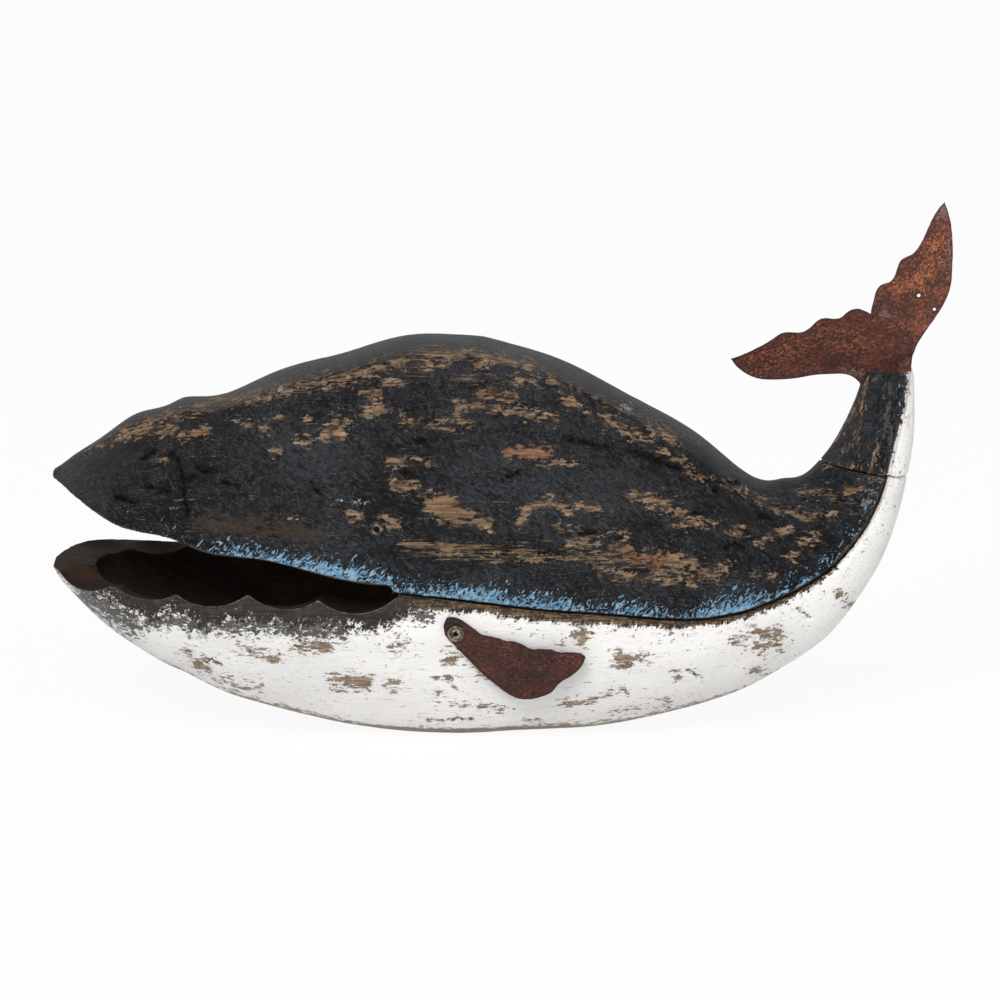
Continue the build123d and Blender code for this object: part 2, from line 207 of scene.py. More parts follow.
world = bpy.data.worlds.new("studio")
world.use_nodes = True
scene.world = world
sky = Finish(world.node_tree)
direction = sky.node("ShaderNodeTexCoord", {}, {}, out="Generated")
height = sky.node("ShaderNodeSeparateXYZ", {}, {"Vector": direction}, out="Z")
behind = sky.node("ShaderNodeSeparateXYZ", {}, {"Vector": direction}, out="Y")
lit = sky_strength - height.above(0.1, 1.0) * sky_fall - behind.above(-0.2, 0.8) * sky_back_fall
strength = shown_rays(sky).mix_value(lit, 1.0)
world.node_tree.nodes["Background"].inputs["Color"].default_value = (1, 1, 1, 1)
world.node_tree.links.new(strength.socket, world.node_tree.nodes["Background"].inputs["Strength"])

for lamp_name, lamp_place, lamp_size, lamp_power in lamps:
    lamp_data = bpy.data.lights.new(lamp_name, "AREA")
    lamp_data.size = lamp_size
    lamp_data.energy = lamp_power
    lamp = bpy.data.objects.new(lamp_name, lamp_data)
    lamp.location = lamp_place
    lamp.rotation_euler = (camera_aim - Vector(lamp_place)).to_track_quat("-Z", "Y").to_euler()
    scene.collection.objects.link(lamp)


# The back block
# The head and back, carved from one block of soft wood, brushed with charcoal paint over brown stain and
# rubbed through, with blue dabbed along the lower edge. It is glued on the belly block.
merge_gap = 0.000002
coarse_edge = 0.0055
patch_edge = 0.0026
nick_edge = 0.0009
sharp_angle = math.radians(38)
edge_rounding = 0.45
edge_rounds = 3
charcoal_relief = 0.0046
gouged_relief = 0.0012
roof_facing = -0.6
# Each row of a table of bars holds the two ends and the width of one, in pixels of the picture. How deep
# a place lies in a bar is counted in steps of bar_depth, out to bar_reach away from it
bar_depth = 8.0
bar_reach = 24.0
bar_away = bar_reach / bar_depth
# The depths from which the mesh is split finer
back_patch_start = -0.5
back_nick_start = -0.35
# Past the ridge the drawn marks fade out and their shaken likeness fades in
ridge_start = 0.008
ridge_fade = 0.014
ridge_reach = 0.02
shake_shift = 16
shake_growth = 0.3
# Rubbed patches of the back
back_bare_pixels = [
    (89, 449, 116, 437, 4), (120, 434, 148, 428, 11), (162, 432, 170, 427, 8), (152, 420, 221, 399, 6),
    (221, 399, 246, 396, 4), (246, 396, 271, 394, 4), (250, 400, 320, 384, 3), (262, 396, 346, 380, 3),
    (328, 389, 400, 361, 6), (428, 356, 470, 352, 8), (470, 353, 500, 357, 8), (500, 358, 530, 365, 7),
    (428, 365, 446, 364, 8), (470, 364, 490, 365, 4), (517, 378, 538, 384, 6), (549, 379, 559, 383, 7),
    (565, 399, 589, 410, 8), (606, 417, 636, 429, 8), (618, 432, 642, 437, 4), (648, 427, 675, 439, 6),
    (647, 441, 682, 461, 6), (689, 469, 697, 475, 6), (704, 479, 742, 487, 5), (746, 490, 748, 494, 5),
    (754, 496, 779, 511, 5), (786, 514, 832, 514, 7),
    (455, 404, 474, 406, 7), (481, 405, 514, 410, 8), (524, 413, 555, 420, 7), (475, 393, 515, 395, 5),
    (190, 433, 206, 431, 8), (180, 434, 184, 434, 6), (156, 460, 164, 459, 6), (243, 424, 250, 423, 5),
    (259, 426, 266, 425, 4), (276, 418, 282, 417, 4), (304, 418, 310, 418, 4), (275, 450, 277, 449, 6),
    (301, 443, 309, 442, 9), (327, 433, 341, 434, 13), (335, 418, 337, 424, 6), (345, 420, 351, 420, 8),
    (368, 411, 383, 410, 12), (362, 393, 376, 392, 7), (384, 382, 400, 380, 6), (401, 419, 414, 420, 8),
    (432, 426, 434, 426, 5), (441, 426, 451, 427, 7), (459, 421, 469, 421, 6), (391, 462, 401, 461, 9),
    (414, 459, 419, 461, 8), (427, 465, 431, 465, 6), (395, 485, 404, 486, 11), (407, 486, 418, 488, 9),
    (432, 507, 450, 507, 22), (446, 515, 459, 519, 14), (431, 490, 432, 502, 8), (463, 514, 486, 525, 10),
    (511, 452, 545, 454, 15), (520, 448, 538, 458, 10), (555, 462, 573, 462, 7), (520, 524, 529, 509, 10),
    (530, 508, 549, 502, 10), (549, 502, 569, 511, 10), (569, 508, 600, 505, 3), (558, 528, 578, 528, 7),
    (614, 533, 624, 533, 7), (571, 543, 597, 543, 8), (484, 559, 530, 557, 3), (535, 557, 575, 558, 4),
    (442, 549, 455, 549, 12), (635, 495, 660, 503, 10), (660, 504, 688, 515, 9), (688, 517, 709, 520, 8),
    (672, 524, 698, 525, 3), (731, 531, 737, 531, 8), (773, 534, 790, 528, 8), (759, 540, 763, 540, 6),
    (805, 542, 814, 538, 9), (792, 558, 800, 552, 4), (611, 551, 628, 549, 8), (632, 556, 660, 560, 8),
    (655, 563, 688, 562, 14), (660, 552, 685, 556, 5), (600, 574, 650, 574, 6), (640, 579, 690, 581, 6),
    (680, 573, 716, 577, 5), (722, 566, 728, 566, 6), (753, 574, 757, 574, 4), (771, 575, 775, 575, 4),
    (386, 521, 397, 525, 12), (354, 516, 360, 518, 8), (828, 464, 854, 467, 5), (870, 476, 883, 477, 4),
    (848, 490, 861, 488, 7), (801, 491, 829, 489, 2), (853, 396, 840, 438, 3), (868, 378, 856, 430, 3),
    (836, 452, 848, 446, 3), (876, 440, 872, 470, 3), (864, 506, 872, 492, 4),
]
# Broad regions with thin rubbed streaks
back_streak_pixels = [
    (250, 396, 440, 352, 26), (540, 372, 700, 440, 14), (400, 546, 600, 558, 24), (600, 560, 716, 574, 26),
    (120, 440, 250, 398, 12), (846, 400, 862, 470, 16), (800, 490, 850, 500, 16), (400, 370, 520, 384, 14),
]
# Nicks and slips of the gouge in the back
back_nick_pixels = [
    (116, 497, 134, 502, 5), (146, 486, 168, 491, 4), (223, 483, 238, 485, 3), (143, 456, 154, 451, 4),
    (170, 454, 178, 460, 5), (198, 466, 207, 471, 5), (180, 464, 184, 490, 3), (184, 490, 187, 516, 3),
    (179, 474, 186, 480, 2), (194, 476, 187, 482, 2), (312, 484, 320, 497, 2), (416, 441, 427, 439, 3),
    (404, 473, 409, 473, 3), (503, 478, 518, 473, 3), (565, 438, 606, 446, 4), (580, 533, 597, 533, 2),
    (539, 554, 566, 554, 3), (630, 451, 660, 460, 5), (660, 463, 681, 468, 4), (706, 480, 738, 484, 3),
    (714, 490, 717, 490, 3), (760, 515, 770, 518, 4), (691, 513, 710, 515, 3), (725, 548, 736, 543, 3),
    (736, 543, 745, 549, 3), (626, 571, 650, 571, 3),
]
# Chips that show the white under the charcoal, partly painted glints
back_chip_and_glint_pixels = [
    (622, 405, 630, 408, 6), (331, 503, 345, 499, 3), (352, 499, 364, 503, 3), (231, 419, 236, 417, 3),
    (174, 507, 175, 511, 3), (281, 388, 283, 388, 2), (295, 519, 297, 519, 2), (339, 498, 341, 498, 2),
    (897, 368, 908, 372, 4),
]
# Grey rubs along the edges of the tail, with a painted highlight on its top rim
back_grey_rub_and_highlight_pixels = [(889, 385, 884, 440, 7), (866, 369, 896, 368, 4)]
# Reddish and orange stain that shows in some of the patches
back_warm_pixels = [
    (473, 394, 517, 394, 22), (190, 432, 206, 431, 20), (360, 393, 378, 392, 20), (505, 452, 550, 455, 34),
    (620, 551, 660, 562, 34), (845, 489, 862, 489, 20), (436, 506, 470, 515, 24),
]
# The worn dark zone over the lip, with its lighter rubs
lip_zone_pixels = [(200, 524, 262, 528, 34), (262, 528, 310, 532, 34)]
# The lower edge of the charcoal seen square from the side, in metres along and up: the upper lip,
# then the glued seam up to the top of the tail
mouth_corner_x = -0.0543
lip_and_seam = [
    (-0.2250, 0.1265), (-0.2069, 0.1208), (-0.1880, 0.1115), (-0.1631, 0.1066), (-0.1455, 0.0995),
    (-0.1201, 0.0967), (-0.1029, 0.0930), (-0.0801, 0.0869), (-0.0590, 0.0839), (mouth_corner_x, 0.0802),
    (-0.0199, 0.0762), (0.0248, 0.0707), (0.0635, 0.0670), (0.0915, 0.0638), (0.1147, 0.0654),
    (0.1375, 0.0717), (0.1607, 0.0837), (0.1809, 0.1060), (0.1900, 0.1267), (0.1947, 0.1470),
    (0.1990, 0.1669), (0.2007, 0.1832),
]
seam_border = 0.002
dab_start = -0.194
dab_fade = 0.018
dab_low = 0.09
dab_high = 0.15
dab_least = 0.3


def seen(points):
    """Where the camera sees points of the whale, in pixels across and down the picture."""
    away = points - np.array(camera_place)
    depth = away @ np.array(camera_ahead)
    scale = picture_pixels * camera_distance / picture_width
    across = picture_pixels / 2 + scale * (away @ np.array(camera_right)) / depth
    down = picture_pixels / 2 - scale * (away @ np.array(camera_up)) / depth
    return np.stack([across, down], axis=1)


def new_finish(name):
    """An empty material, with its shader node and the start of its sums."""
    material = bpy.data.materials.new(name)
    material.use_nodes = True
    shader = material.node_tree.nodes["Principled BSDF"]
    return material, shader, Finish(material.node_tree)


def coat(shader, colour, roughness, height, depth):
    """Lays the colour, the gloss and the relief on a shader. The depth is in metres."""
    links = colour.tree.links
    links.new(colour.socket, shader.inputs["Base Color"])
    if isinstance(roughness, Finish):
        links.new(roughness.socket, shader.inputs["Roughness"])
    else:
        shader.inputs["Roughness"].default_value = roughness
    bump = colour.node("ShaderNodeBump", {}, {"Strength": 1.0, "Distance": depth, "Height": height})
    links.new(bump.socket, shader.inputs["Normal"])


def merged(node):
    """The points and triangles of a CAD node, with its loose triangles joined up."""
    mesh = bmesh.new()
    mesh.from_mesh(frame["nodes"][node].data)
    bmesh.ops.remove_doubles(mesh, verts=mesh.verts, dist=merge_gap)
    bmesh.ops.triangulate(mesh, faces=mesh.faces)
    mesh.verts.index_update()
    points = np.array([vert.co for vert in mesh.verts])
    triangles = np.array([[vert.index for vert in face.verts] for face in mesh.faces])
    mesh.free()
    return points, triangles


def edges_of(triangles, count):
    """The edges of a mesh, and for each triangle's three sides which edge it is."""
    sides = np.concatenate([triangles[:, [0, 1]], triangles[:, [1, 2]], triangles[:, [2, 0]]])
    keys = sides.min(axis=1) * count + sides.max(axis=1)
    found, which = np.unique(keys, return_inverse=True)
    return np.stack([found // count, found % count], axis=1), which.reshape(3, -1).T


def refined(points, triangles, coarse, finest, limit):
    """Splits the long edges until none is longer than the coarse length, or than the limit at its middle.
    A triangle that is split at all is split on its longest side too, so that none gets thin."""
    while True:
        edges, which = edges_of(triangles, len(points))
        first = points[edges[:, 0]]
        second = points[edges[:, 1]]
        middles = (first + second) / 2
        lengths = np.linalg.norm(first - second, axis=1)
        cut = lengths > coarse
        doubtful = np.flatnonzero((lengths > finest) & ~cut)
        cut[doubtful] = lengths[doubtful] > limit(middles[doubtful])
        if not cut.any():
            return points, triangles
        longest = which[np.arange(len(which)), lengths[which].argmax(axis=1)]
        needed = longest[cut[which].any(axis=1)]
        while not cut[needed].all():
            cut[needed] = True
            needed = longest[cut[which].any(axis=1)]
        number = np.full(len(edges), -1)
        number[cut] = len(points) + np.arange(cut.sum())
        points = np.concatenate([points, middles[cut]])
        splits = number[which]
        cuts = (splits >= 0).sum(axis=1)
        kept = [triangles[cuts == 0]]
        for count in (1, 2, 3):
            corners = triangles[cuts == count]
            news = splits[cuts == count]
            first_cut = np.argmax(news >= 0, axis=1)
            after_whole = (np.argmax(news < 0, axis=1) + 1) % 3
            turn = (after_whole if count == 2 else first_cut)[:, None] + np.arange(3)
            a, b, c = np.take_along_axis(corners, turn % 3, axis=1).T
            ab, bc, ca = np.take_along_axis(news, turn % 3, axis=1).T
            parts = {
                1: [(a, ab, c), (ab, b, c)],
                2: [(a, ab, bc), (ab, b, bc), (a, bc, c)],
                3: [(a, ab, ca), (ab, b, bc), (bc, c, ca), (ab, bc, ca)],
            }[count]
            kept += [np.stack(part, axis=1) for part in parts]
        triangles = np.concatenate(kept)


def unit(vectors):
    """The same directions, one long. A direction that isn't there stays zero."""
    return vectors / np.maximum(np.linalg.norm(vectors, axis=1, keepdims=True), 1e-15)


def face_normals(points, triangles):
    a, b, c = (points[triangles[:, corner]] for corner in range(3))
    return unit(np.cross(b - a, c - a))


def point_sums(points, triangles, values):
    """At each point, the sum of the values of the triangles round it."""
    sums = np.zeros_like(points)
    for corner in range(3):
        np.add.at(sums, triangles[:, corner], values)
    return sums


def capsules(places, rows):
    """How deep each place lies in the nearest of the bars: 0 at its rim and negative outside."""
    best = np.full(len(places), -bar_away)
    across = places[:, 0].copy()
    down = places[:, 1].copy()
    for x0, y0, x1, y1, width in rows:
        reach = width / 2 + bar_reach
        beside = np.abs(across - (x0 + x1) / 2) < abs(x1 - x0) / 2 + reach
        near = np.flatnonzero(beside & (np.abs(down - (y0 + y1) / 2) < abs(y1 - y0) / 2 + reach))
        start = np.array([x0, y0])
        run = np.array([x1 - x0, y1 - y0])
        away = places[near] - start
        share = np.clip(away @ run / max(run @ run, 0.01), 0, 1)
        gap = np.linalg.norm(away - share[:, None] * run, axis=1)
        best[near] = np.maximum(best[near], (width / 2 - gap) / bar_depth)
    return best


def line_side(places, line):
    """The distance of each place from a drawn line, positive on the left hand of its run."""
    best = np.full(len(places), np.inf)
    side = np.ones(len(places))
    for start, end in zip(line[:-1], line[1:]):
        start = np.array(start)
        run = np.array(end) - start
        away = places - start
        share = np.clip(away @ run / (run @ run), 0, 1)
        gap = np.linalg.norm(away - share[:, None] * run, axis=1)
        nearer = gap < best
        best = np.where(nearer, gap, best)
        side = np.where(nearer, np.where(away[:, 1] * run[0] > away[:, 0] * run[1], 1, -1), side)
    return best * side


def shaken(rows, seed):
    """The same bars moved and stretched a little at random, for the flank that the picture doesn't show."""
    dice = np.random.RandomState(seed)
    moved = []
    for x0, y0, x1, y1, width in rows:
        middle_x = (x0 + x1) / 2 + dice.uniform(-shake_shift, shake_shift)
        middle_y = (y0 + y1) / 2 + dice.uniform(-shake_shift, shake_shift) / 2
        stretch = dice.uniform(1 - shake_growth, 1 + shake_growth)
        half = (x1 - x0) / 2 * stretch
        tilt = (y1 - y0) / 2 * stretch * dice.choice([-1, 1, 1])
        width = width * dice.uniform(1 - shake_growth, 1 + shake_growth)
        moved.append((middle_x - half, middle_y - tilt, middle_x + half, middle_y + tilt, width))
    return moved


def both_flanks(points, rows, seed):
    """The bars as drawn on the left flank, and their shaken likeness mirrored on the right one."""
    mirrored = points * np.array([1, -1, 1])
    crossing = np.clip((points[:, 1] - ridge_start) / ridge_fade, 0, 1)
    left = capsules(seen(points), rows) - bar_away * crossing
    right = capsules(seen(mirrored), shaken(rows, seed)) - bar_away * (1 - crossing)
    return np.maximum(left, right)


def back_fields(points):
    """What the charcoal finish needs to know of each point."""
    start = np.clip((points[:, 0] - dab_start) / dab_fade, 0, 1)
    return {
        "bare": both_flanks(points, back_bare_pixels, 3),
        "streak": both_flanks(points, back_streak_pixels, 4),
        "nick": both_flanks(points, back_nick_pixels, 5),
        "grey_rub_and_highlight": both_flanks(points, back_grey_rub_and_highlight_pixels, 6),
        "chip_and_glint": both_flanks(points, back_chip_and_glint_pixels, 7),
        "warm": both_flanks(points, back_warm_pixels, 9),
        "zone": both_flanks(points, lip_zone_pixels, 11),
        "edge": line_side(points[:, [0, 2]], lip_and_seam),
        "dab": start * np.clip((dab_high - points[:, 2]) / (dab_high - dab_low), dab_least, 1),
    }


def drawn_limit(points, reach, patches, patch_start, nicks, nick_start):
    """The longest edge that the mesh may have at each point: short along the seam, and round the patches
    and nicks as far across the whale as they are drawn."""
    drawn = points[:, 1] < reach
    picture = seen(points)
    border = np.abs(line_side(points[:, [0, 2]], lip_and_seam)) < seam_border
    busy = drawn & (capsules(picture, patches) > patch_start) | border
    nicked = drawn & (capsules(picture, nicks) > nick_start)
    return np.where(nicked, nick_edge, np.where(busy, patch_edge, coarse_edge))


def back_limit(points):
    return drawn_limit(
        points, ridge_reach, back_bare_pixels, back_patch_start, back_nick_pixels, back_nick_start
    )


def new_tree(name, sizes, finishes):
    """Geometry nodes with named inputs for sizes and finishes: the start of the sums, and the inputs."""
    tree = bpy.data.node_groups.new(name, "GeometryNodeTree")
    tree.interface.new_socket("Geometry", in_out="INPUT", socket_type="NodeSocketGeometry")
    for label, value in sizes.items():
        socket = tree.interface.new_socket(label, in_out="INPUT", socket_type="NodeSocketFloat")
        socket.default_value = value
    for label in finishes:
        tree.interface.new_socket(label, in_out="INPUT", socket_type="NodeSocketMaterial")
    tree.interface.new_socket("Geometry", in_out="OUTPUT", socket_type="NodeSocketGeometry")
    group = tree.nodes.new("NodeGroupInput")
    return Finish(tree), {socket.name: Finish(tree, socket) for socket in group.outputs}


def moved_and_coated(sums, given, offset, finishes):
    """Moves the points by the offset and lays each finish on the faces that hold its number."""
    moved = sums.node("GeometryNodeSetPosition", {}, {"Geometry": given["Geometry"], "Offset": offset})
    whole = sums.node("GeometryNodeRealizeInstances", {}, {"Geometry": moved})
    held = sums.stored("finish", "INT")
    for number, label in enumerate(finishes):
        settings = {"data_type": "INT", "operation": "EQUAL"}
        faces = sums.node("FunctionNodeCompare", settings, {2: held, 3: number})
        values = {"Geometry": whole, "Selection": faces, "Material": given[label]}
        whole = sums.node("GeometryNodeSetMaterial", {}, values)
    out = sums.tree.nodes.new("NodeGroupOutput")
    sums.tree.links.new(whole.socket, out.inputs["Geometry"])
    return sums.tree


finish_inputs = ["First Finish", "Second Finish", "Third Finish"]


def tooled_surface():
    """Geometry nodes that leave the soft unevenness of hand carving, press the nicks in and lay the
    finishes."""
    sizes = {"Swell Size": 0.022, "Swell Depth": 0.0007, "Nick Depth": 0.0012, "Seed": 4.0}
    sums, given = new_tree("tooled_surface", sizes, finish_inputs)
    cells = 1 / given["Swell Size"]
    place = sums.node("GeometryNodeInputPosition", {}, {})
    swell = sums.seeded_noise(place, given["Seed"], cells, 2.0)
    torn = sums.seeded_noise(place, given["Seed"], cells * 8.0, 3.0)
    nick = (sums.stored("nick") + (torn - 0.5) * 2.4).above(-0.1, 0.3)
    sink = swell * given["Swell Depth"] + nick * given["Nick Depth"]
    normal = sums.node("GeometryNodeInputNormal", {}, {})
    offset = sums.node("ShaderNodeVectorMath", {"operation": "SCALE"}, {0: normal, "Scale": sink * -1})
    return moved_and_coated(sums, given, offset, finish_inputs)


def rounded_edges(points, triangles):
    """Wears the sharp edges down by drawing their points towards their neighbours."""
    edges, which = edges_of(triangles, len(points))
    normals = face_normals(points, triangles)
    order = np.argsort(which.ravel(), kind="stable")
    faces = order // 3
    starts = np.searchsorted(which.ravel()[order], np.arange(len(edges)))
    paired = np.flatnonzero(np.diff(np.append(starts, len(order))) == 2)
    turn = (normals[faces[starts[paired]]] * normals[faces[starts[paired] + 1]]).sum(axis=1)
    sharp = np.unique(edges[paired[turn < math.cos(sharp_angle)]])
    worn = np.zeros(len(points), bool)
    worn[sharp] = True
    both = np.concatenate([edges, edges[:, ::-1]])
    both = both[worn[both[:, 0]]]
    for _ in range(edge_rounds):
        total = np.zeros_like(points)
        np.add.at(total, both[:, 0], points[both[:, 1]])
        count = np.bincount(both[:, 0], minlength=len(points))[:, None]
        drawn = points + edge_rounding * (total / np.maximum(count, 1) - points)
        points = np.where(worn[:, None], drawn, points)
    return points


def field_mesh(name, points, triangles, fields):
    """A smooth mesh that holds its fields and keeps its sharp edges."""
    mesh = bpy.data.meshes.new(name)
    mesh.from_pydata(points.tolist(), [], triangles.tolist())
    mesh.polygons.foreach_set("use_smooth", np.ones(len(triangles), bool))
    for key, values in fields.items():
        mesh.attributes.new(key, "FLOAT", "POINT").data.foreach_set("value", values.astype(np.float32))
    mesh.set_sharp_from_angle(angle=sharp_angle)
    return mesh


def worked_piece(name, mesh, tree, inputs):
    """A piece whose plain mesh is what the geometry nodes make of the mesh."""
    piece = bpy.data.objects.new(name, mesh)
    scene.collection.objects.link(piece)
    modifier = piece.modifiers.new("work", "NODES")
    modifier.node_group = tree
    for item in tree.interface.items_tree:
        if item.in_out == "INPUT" and item.name in inputs:
            modifier[item.identifier] = inputs[item.name]
    graph = bpy.context.evaluated_depsgraph_get()
    worked = piece.evaluated_get(graph)
    mesh = bpy.data.meshes.new_from_object(worked, preserve_all_data_layers=True, depsgraph=graph)
    piece.modifiers.clear()
    piece.data = mesh
    return piece


def wooden_piece(name, points, triangles, fields, finishes, finish_of_face):
    """A carved block of its points, its fields and its finishes, with its surface tooled."""
    mesh = field_mesh(name, points, triangles, fields)
    numbers = mesh.attributes.new("finish", "INT", "FACE")
    numbers.data.foreach_set("value", finish_of_face.astype(np.int32))
    return worked_piece(name, mesh, tooled, dict(zip(finish_inputs, finishes)))


# The charcoal finish: brushed satin paint, rubbed through to brown wood in ragged patches that run with
# the grain, with thin lines of the same wood along its worn edges that also stand as their painted
# highlight, lighter grey brush hairs as a painted sheen, white chips that are partly painted glints,
# nicks painted near black as the shade in their dents, and dry dabs of blue over the lip
def charcoal_finish(name, lean=0.0):
    material, shader, sums = new_finish(name)
    fine = sums.noise(sums.stretched(110, 360, lean), detail=5, rough=0.65, bend=0.5)
    ragged = sums.noise(sums.stretched(280, 520, lean), detail=6, rough=0.8, bend=0.3)
    hairs = sums.noise(sums.stretched(230, 480, lean - 35), detail=5, rough=0.75, bend=1.6)
    cloud = sums.noise(sums.stretched(16, 26, lean), detail=3)
    lumps = sums.noise(sums.stretched(110, 190, lean), detail=5, rough=0.65, bend=0.6)
    speckle = sums.noise(sums.stretched(800, 800), detail=3, rough=0.7)

    charcoal = (lumps + cloud / 2).above(0.6, 0.85).mixed(paint(9, 9, 10), paint(33, 34, 37))
    # The lighter grey brush hairs are a painted sheen on the strokes
    brushed_hairs_and_sheen = (hairs + cloud * 0.3).above(0.6, 0.76).mixed(charcoal, paint(64, 65, 69))

    grain = sums.noise(sums.stretched(40, 900, lean), detail=4, rough=0.65)
    wood = grain.above(0.3, 0.7).mixed(paint(100, 80, 62), paint(188, 159, 128))
    wood = lumps.above(0.5, 0.66).mixed(wood, paint(76, 62, 50))
    warm = (sums.field("warm") + (ragged - 0.5) * 5.0).above(0.2, 2.4)
    wood = (warm / 2).mixed(wood, paint(140, 86, 55))

    worn = (fine - 0.5) * 5.0 + (ragged - 0.5) * 6.0
    bare = (sums.field("bare") + worn - 0.08).above(0.0, 0.12)
    lines = sums.noise(sums.stretched(30, 1000, lean), detail=5, rough=0.65, bend=0.6)
    thin = (lines + sums.field("streak").above(-0.6, 1.4) * 0.15 + (ragged - 0.5) * 0.4).above(0.65, 0.68)
    bare = bare.at_least(thin * 0.7)
    colour = bare.mixed(brushed_hairs_and_sheen, wood)

    zone = (sums.field("zone") + worn * 1.6).above(0.2, 1.6)
    colour = (zone * 0.55 * (1 - bare)).mixed(colour, paint(80, 66, 52))
    # Grey along the tail's edges: partly rubbed paint, partly a painted highlight on its top rim
    grey = (sums.field("grey_rub_and_highlight") + worn).above(0.0, 0.5)
    colour = (grey / 2).mixed(colour, paint(112, 112, 112))

    edge = sums.field("edge")
    dabs = sums.noise(sums.stretched(200, 430, lean + 50), detail=3, rough=0.55, bend=2.0)
    reach = (1 - edge.above(-0.003, 0.0185)) * sums.field("dab")
    dense = (dabs - 0.5) * 13 + (cloud - 0.5) * 6 + reach * 3.9 - 2.8
    blue = dense.above(0.0, 0.2) * edge.above(0.0006, 0.0014) * reach.above(0.0, 0.1)
    shade = ragged.above(0.42, 0.58).mixed(paint(98, 152, 194), paint(170, 210, 232))
    colour = (blue * 0.94).mixed(colour, shade)

    # The brown line along the lip and seam is worn wood and also a painted highlight of the edge
    worn_edge_and_highlight = 1 - (edge + (ragged - 0.5) * 0.006).above(0.0007, 0.0013)
    colour = (worn_edge_and_highlight * 0.85).mixed(colour, paint(92, 77, 61))
    # White chips under the charcoal, partly painted glints
    chip_and_glint = (sums.field("chip_and_glint") + (ragged - 0.5) * 5.0 + (dabs - 0.5) * 3.5 - 0.3).above(0.0, 0.1)
    colour = (chip_and_glint * 0.8).mixed(colour, paint(186, 196, 204))
    # The nicks are painted near black, a painted shade in their dents
    nick = sums.field("nick") + (ragged - 0.5) * 4.5
    colour = (nick.above(-0.1, 0.1) * 0.95).mixed(colour, paint(5, 5, 5))
    dust = (speckle - 0.5).above(0.15, 0.22)
    colour = (dust * 0.35).mixed(colour, paint(116, 108, 96))

    roughness = bare * 0.22 + 0.5 + (hairs - 0.5) * 0.6
    relief = hairs * 0.55 + lumps * 0.8 + speckle * 0.1 + (1 - bare) * 0.14
    relief = relief + grain * bare * 0.2 + blue * 0.1
    coat(shader, colour, roughness, relief, charcoal_relief)
    shader.inputs["Specular IOR Level"].default_value = 0.14
    return material


# The inside of the mouth: stained nearly black and darkened as painted shade, rough from the gouge, with
# brown clouds painted in as the light that gets in
def mouth_finish():
    material, shader, sums = new_finish("gouged_wood_stain_and_painted_shade")
    grain = sums.noise(sums.stretched(60, 700), detail=5, rough=0.65, bend=0.3)
    cloud = sums.noise(sums.stretched(45, 60), detail=4)
    stain_and_painted_light = grain.above(0.35, 0.7).mixed(paint(26, 21, 18), paint(50, 39, 30))
    stain_and_painted_light = (cloud.above(0.5, 0.72) / 2).mixed(stain_and_painted_light, paint(66, 48, 34))
    coat(shader, stain_and_painted_light, 0.85, grain * 0.6 + cloud * 0.4, gouged_relief)
    shader.inputs["Specular IOR Level"].default_value = 0.15
    return material


tooled = tooled_surface()
charcoal = charcoal_finish("charcoal_over_wood")
mouth_stain_and_shade = mouth_finish()

points, triangles = merged("back_block")
points, triangles = refined(points, triangles, coarse_edge, nick_edge, back_limit)
normals = face_normals(points, triangles)
centres = points[triangles].mean(axis=1)
# The roof of the mouth takes the dark mouth finish: stain, with painted shade
roof = (normals[:, 2] < roof_facing) & (centres[:, 0] < mouth_corner_x)
points = rounded_edges(points, triangles)
back = wooden_piece("carved_back", points, triangles, back_fields(points), [charcoal, mouth_stain_and_shade], roof)
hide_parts("back_block")
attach(back, "root")

# The belly block
# The lower half of the body with the open jaw, from a second block. Its hollow and its rim are scooped
# with a round gouge and left dark, stain with painted shade over it, and its outside is painted white and
# rubbed through.
belly_patch_start = -0.7
belly_nick_start = -0.4
hollow_lowest = 0.05
rim_lowest = 0.055
rim_steps = 6
corner_margin = 0.002
rim_margin = 0.004
rim_width = 0.0025
rim_edge = 0.0011
far_from_rim = 0.02
ledge_run = 0.03
inward_facing = -0.05
upward_facing = 0.25
white_relief = 0.0013
# Rubbed patches of the belly
belly_bare_pixels = [
    (240, 648, 277, 658, 8), (300, 646, 328, 646, 10), (334, 678, 340, 680, 12), (187, 654, 189, 654, 8),
    (199, 665, 205, 667, 11), (215, 677, 223, 679, 5), (234, 686, 258, 690, 6), (347, 681, 366, 685, 15),
    (387, 685, 395, 685, 8), (447, 658, 455, 658, 12), (581, 631, 583, 641, 14), (619, 658, 627, 660, 15),
    (628, 660, 648, 660, 7), (559, 645, 561, 646, 4), (398, 645, 404, 645, 5), (391, 650, 393, 654, 5),
    (436, 679, 458, 679, 3), (474, 677, 484, 677, 3), (453, 687, 457, 687, 3), (451, 706, 465, 706, 4),
    (480, 707, 502, 709, 4), (437, 692, 437, 704, 3), (561, 702, 577, 704, 6), (586, 701, 626, 692, 3),
    (616, 711, 638, 710, 3), (670, 629, 672, 632, 6), (675, 673, 677, 676, 7), (734, 638, 744, 638, 10),
    (754, 634, 766, 634, 10), (777, 633, 777, 643, 15), (758, 648, 768, 648, 9), (656, 702, 670, 702, 5),
    (752, 671, 777, 676, 2), (838, 592, 857, 611, 5), (285, 615, 300, 617, 12),
]
# Nicks and slips of the gouge in the belly
belly_nick_pixels = [
    (200, 656, 221, 666, 3), (187, 633, 189, 639, 3), (141, 612, 152, 621, 4), (428, 722, 442, 722, 3),
    (449, 720, 473, 720, 3), (524, 721, 542, 721, 3), (687, 670, 702, 678, 3), (798, 609, 811, 618, 3),
]
# Where dark specks lie thick in the white
speck_pixels = [(85, 600, 132, 630, 34), (398, 606, 424, 618, 26), (150, 622, 340, 634, 22)]
